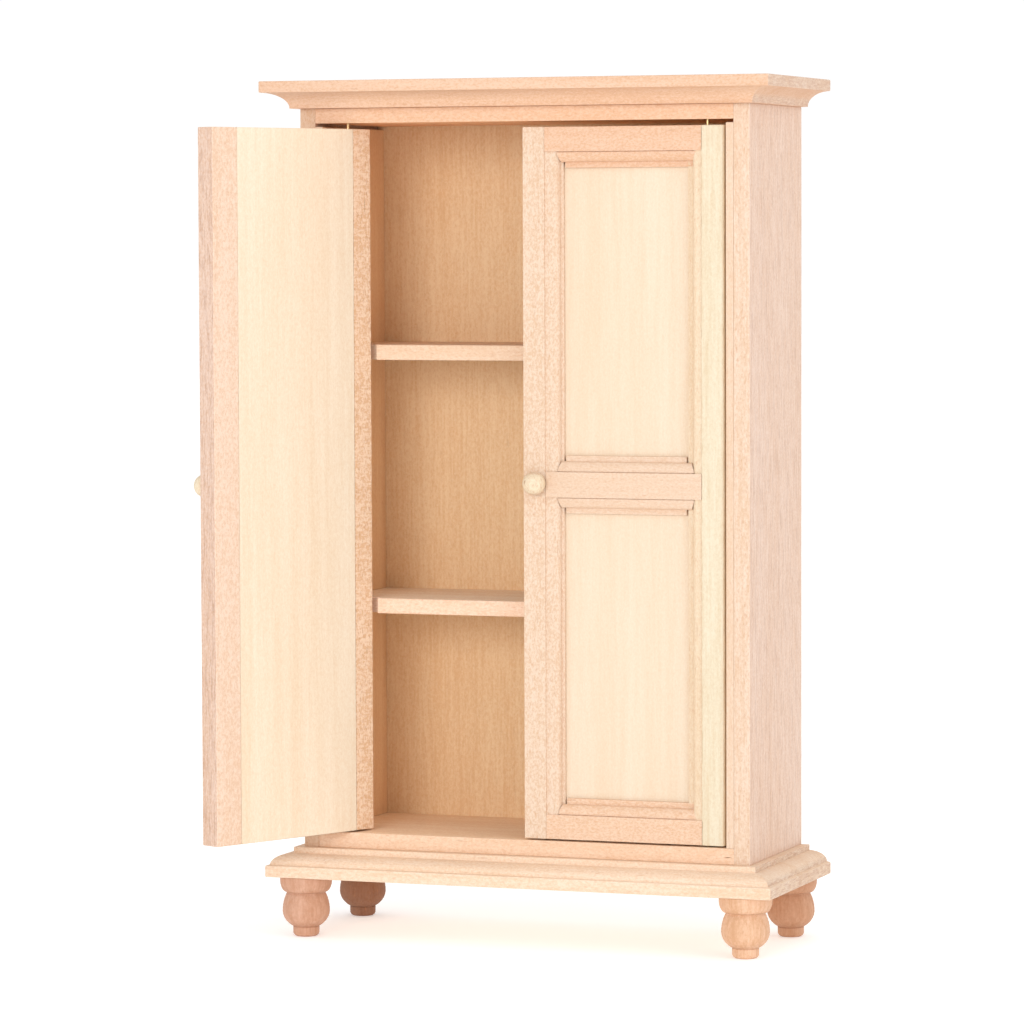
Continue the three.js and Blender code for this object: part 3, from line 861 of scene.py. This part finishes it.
# What differs between the two doors: one shows its back and its sawn edges, the other its face.
DOOR_LOOKS = {
    "left": {
        # The left stile's tint darkens its edges: painted shade on the free edge, which faces away from the
        # light, over its real open grain.
        "stile": dict(colour=(244, 215, 191), figure=0.6, speckle=1.3, ripple=0.35, tint_axis="x",
                      tint=(0.9, 0.87, 0.89), raw=0.45),
        "post": dict(colour=(251, 216, 184), figure=0.7, speckle=1.5, pores=1.2, flecks=0.6, ripple=1.6,
                     deep=(0.88, 0.76, 0.64)),
        "panel": dict(colour=(251, 232, 206), figure=0.6, fibre=0.5, speckle=0.45, pores=0.1, flecks=0.1),
    },
    "right": {
        "stile": dict(colour=(234, 207, 182), figure=0.6, speckle=1.6, ripple=0.5),
        "post": dict(colour=(232, 217, 189), figure=0.9, fibre=1.1, speckle=0.5, pores=0.1, flecks=0.1),
        "panel": dict(colour=(240, 220, 195), figure=0.55, fibre=0.4, speckle=0.35, pores=0.05,
                      flecks=0.06),
    },
}


def door(word, side):
    seed = 40 if side < 0 else 60
    matrix = door_matrix(word)
    looks = DOOR_LOOKS[word]

    def finish(part, grain, offset, **look):
        return wood(f"{word}_{part}", grain=grain, seed=seed + offset, matrix=matrix, **look)

    pieces = [
        ("free_stile", free_stile(), "hardwood", finish("stile", "z", 0, **looks["stile"])),
        ("hinge_post", hinge_post(), "limewood", finish("post", "z", 1, **looks["post"])),
        ("hinge_moulding", hinge_moulding(), "hardwood",
         finish("strip", "z", 2, colour=(237, 215, 186), speckle=0.7, ripple=0.1)),
        ("top_rail", rail("top_rail", True, False, 14), "hardwood",
         finish("top_rail", "x", 3, colour=(234, 195, 165), figure=0.8, speckle=1.2)),
        ("mid_rail", rail("mid_rail", True, True, 21, 0.06), "hardwood",
         finish("mid_rail", "x", 4, colour=(235, 207, 182), speckle=0.8)),
        ("bottom_rail", rail("bottom_rail", False, True, 27), "hardwood",
         finish("bottom_rail", "x", 5, colour=(237, 202, 173), speckle=1.3)),
        ("panel", panel(), "plywood", finish("panel", "z", 6, **looks["panel"])),
        ("knob", knob(), "knob_wood",
         finish("knob", "z", 7, colour=(239, 222, 194), speckle=0.7, pores=1.0, flecks=0.8)),
        ("top_pin", pin("top_pin"), "pin_brass", BRASS),
        ("bottom_pin", pin("bottom_pin"), "pin_brass", BRASS),
    ]
    for name, bm, slot, material in pieces:
        if side < 0:
            bm = mirrored(bm)
        piece(f"{word}_door_{name}", bm, f"{word}_door", matrix, slot, material)


# ---- Studio ----------------------------------------------------------------------------------

EYE = Vector((341.19, -937.62, 150.48))
AZIMUTH, ELEVATION, ROLL = 20.12, 3.366, -0.2056
LENS = 167.24
ROOM_LIGHT, BACKDROP_LIGHT = 0.79, 1.02


def add_camera():
    azimuth, elevation, roll = (math.radians(angle) for angle in (AZIMUTH, ELEVATION, ROLL))
    back = Vector((math.sin(azimuth) * math.cos(elevation), -math.cos(azimuth) * math.cos(elevation),
                   math.sin(elevation)))
    level = Vector((math.cos(azimuth), math.sin(azimuth), 0))
    upright = back.cross(level)
    right = level * math.cos(roll) + upright * math.sin(roll)
    up = upright * math.cos(roll) - level * math.sin(roll)
    data = bpy.data.cameras.new("camera")
    data.lens = LENS
    data.sensor_width = 36
    data.clip_start = 0.05
    camera = bpy.data.objects.new("camera", data)
    turn = Matrix((right, up, back)).transposed().to_4x4()
    camera.matrix_world = Matrix.Translation(ORIGIN + EYE * MM) @ turn
    bpy.context.scene.collection.objects.link(camera)
    bpy.context.scene.camera = camera


def softbox(name, azimuth, elevation, spread, share, distance=1.6):
    """A round lamp aimed at the wardrobe. `share` is its light on a white card that faces it."""
    a, e = math.radians(azimuth), math.radians(elevation)
    towards = Vector((math.sin(a) * math.cos(e), -math.cos(a) * math.cos(e), math.sin(e)))
    data = bpy.data.lights.new(name, "AREA")
    data.shape = "DISK"
    data.size = 2 * distance * math.tan(math.radians(spread) / 2)
    data.energy = share * (math.pi * distance) ** 2
    lamp = bpy.data.objects.new(name, data)
    middle = ORIGIN + Vector((0, 0, 95 * MM))
    turn = towards.to_track_quat("Z", "Y").to_matrix().to_4x4()
    lamp.matrix_world = Matrix.Translation(middle + towards * distance) @ turn
    bpy.context.scene.collection.objects.link(lamp)


def add_world():
    """White light all round, strongest from the backdrop behind the wardrobe."""
    world = bpy.data.worlds.new("studio")
    world.use_nodes = True
    tree = world.node_tree
    direction = tree.nodes.new("ShaderNodeTexCoord")
    axes = tree.nodes.new("ShaderNodeSeparateXYZ")
    backdrop = tree.nodes.new("ShaderNodeMapRange")
    tree.links.new(direction.outputs["Generated"], axes.inputs[0])
    tree.links.new(axes.outputs["Y"], backdrop.inputs["Value"])
    backdrop.inputs["From Min"].default_value = 0.5
    backdrop.inputs["From Max"].default_value = 0.8
    backdrop.inputs["To Min"].default_value = ROOM_LIGHT
    backdrop.inputs["To Max"].default_value = BACKDROP_LIGHT
    tree.links.new(backdrop.outputs[0], tree.nodes["Background"].inputs["Strength"])
    tree.nodes["Background"].inputs["Color"].default_value = (1, 1, 1, 1)
    bpy.context.scene.world = world


def add_floor():
    bm = bmesh.new()
    bmesh.ops.create_circle(bm, cap_ends=True, segments=96, radius=6)
    floor = to_object(bm, "studio_floor")
    s = Shader("studio_floor")
    material = s.surface((0.9, 0.9, 0.9, 1), 0.9, Emission_Color=(1, 1, 1, 1), Emission_Strength=0.33)
    floor.data.materials.append(material)


def set_view():
    view = bpy.context.scene.view_settings
    view.view_transform = "Standard"
    view.look = "None"


# ---- The wardrobe ----------------------------------------------------------------------------

BRASS = brass()

# The ends and the height of the drying crack in the floor board.
FLOOR_CRACK = (44.2, 46.2, 20.6)

# The feet's colours hold painted shade: all but the front right one are darker, the rear left one much
# darker, for the shade that each stands in.
FOOT_COLOURS_WITH_PAINTED_SHADE = {
    "foot_front_left": (212, 167, 142),
    "foot_rear_left": (162, 117, 92),
    "foot_front_right": (237, 198, 168),
    "foot_rear_right": (212, 165, 135),
}


# The colour of each side of the carcass, and the tint of its outer face. The left colour is darker for
# painted shade, the open door's shadow on its front edge, and its stronger tint lightens the outer face
# back up.
SIDE_LOOKS = {
    "left": ((228, 194, 165), (1.18, 1.17, 1.24)),
    "right": ((235, 208, 184), (1.05, 1.04, 1.1)),
}


def uprights(word, side):
    """A side of the carcass: the outer board and the thin liner inside it."""
    seed = 2 + side
    outer_left = (ARRIS, JOINT_ARRIS, JOINT_ARRIS, ARRIS)
    outer_right = (JOINT_ARRIS, ARRIS, ARRIS, JOINT_ARRIS)
    outer, inner = (outer_left, outer_right) if side < 0 else (outer_right, outer_left)
    colour, face_tint = SIDE_LOOKS[word]
    panel_wood = wood(
        f"side_{word}", colour, "z", seed, figure=0.5, fibre=1.6, speckle=1.0, pores=0.7,
        tint_axis="x", tint=face_tint, raw=0.33)
    # The liner's inner face is tinted brighter and more orange: painted bounce light inside the cabinet.
    liner_wood = wood(
        f"liner_{word}", (236, 209, 184), "z", seed + 4, figure=0.7, fibre=0.9, speckle=0.6,
        tint_axis="x", tint=(1.27, 1.13, 0.9))
    upright_board(f"side_panel_{word}", seed, "hardwood", panel_wood, *outer)
    upright_board(f"side_liner_{word}", seed + 4, "hardwood", liner_wood, *inner)


def build_carcass():
    for word, side in SIDES:
        uprights(word, side)
    # The back's deep orange is partly its plywood and partly painted bounce light, standing in for the warm
    # light inside the cabinet.
    upright_board("back_panel", 8, "plywood", wood(
        "back", (252, 215, 170), "z", 8, figure=0.6, fibre=1.5, speckle=0.8, pores=0.25, flecks=0.15))
    top_low, _ = carcass_box("top_board")
    _, floor_high = carcass_box("floor_board")
    # The top board's underside is tinted deeper and redder: painted shade in the gap above the doors.
    top_wood = wood("top_board", (241, 201, 169), "x", 9, figure=0.7, speckle=1.0,
                    tint_axis="z", tint=(1.12, 0.94, 0.76))
    # The floor board is tinted lighter on its top and underside: painted light on its top.
    floor_wood = wood("floor_board", (244, 209, 179), "x", 10, figure=0.7, speckle=0.9,
                      tint_axis="z", tint=(1.2, 1.28, 1.3))
    cross_board("top_board", 9, top_wood, top_low.z - 1, top_low.z + PIN_IN_BOARD)
    cross_board("floor_board", 10, floor_wood, floor_high.z - PIN_IN_BOARD, floor_high.z + 1,
                crack(*FLOOR_CRACK))
    shelf("shelf_upper", 16, wood("shelf_upper", (238, 207, 179), "x", 16, speckle=0.8))
    # The lower shelf is tinted lighter and paler on its top and underside: painted light on its top.
    shelf("shelf_lower", 17, wood(
        "shelf_lower", (249, 215, 188), "x", 17, speckle=1.0, tint_axis="z", tint=(1.1, 1.28, 1.38)))
    cornice(wood("cornice", (233, 194, 164), "x", 18, figure=0.9, fibre=0.8, speckle=1.0,
                 end_tint=(1.04, 1.2, 1.36)))
    base(wood("base", (246, 218, 191), "x", 19, figure=0.9, fibre=0.9, speckle=0.9,
              end_tint=(0.94, 0.97, 1.0)))
    seed = 20
    for word, _ in SIDES:
        for place in ("front", "rear"):
            node = f"foot_{place}_{word}"
            foot(node, seed, turned_wood(node, FOOT_COLOURS_WITH_PAINTED_SHADE[node], seed))
            seed += 1


add_camera()
build_carcass()
for word, side in SIDES:
    door(word, side)
softbox("key", 1, 12, 22, 0.31)
softbox("fill", 68, 25, 40, 0.2)
add_world()
add_floor()
set_view()
